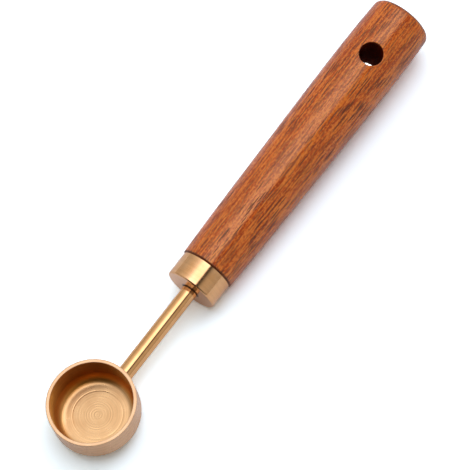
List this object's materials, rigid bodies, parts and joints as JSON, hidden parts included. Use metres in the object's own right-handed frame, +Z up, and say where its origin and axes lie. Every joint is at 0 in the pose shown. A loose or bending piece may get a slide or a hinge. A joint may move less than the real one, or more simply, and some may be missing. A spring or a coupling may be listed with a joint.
{
  "type": "measuring spoon",
  "caption": "Teaspoon measure with a turned brass cup, a brass stem and ferrule, and a turned wooden handle with a hanging hole.",
  "frame": {"origin": "centre of the cup's flat underside", "axes": "+Z up the cup's axis with the cup level, +X along the handle from the cup to the tail"},
  "size_m": [0.1675, 0.027, 0.0202],
  "materials": {
    "cup_brass": "satin",
    "stem_brass": "polished",
    "ferrule_brass": "brushed",
    "insert_brass": "satin",
    "handle_wood": "oiled"
  },
  "bodies": {
    "root": {"cup": "cup_brass", "stem": "stem_brass", "ferrule": "ferrule_brass", "threaded_insert": "insert_brass", "handle": "handle_wood"}
  },
  "joints": []
}
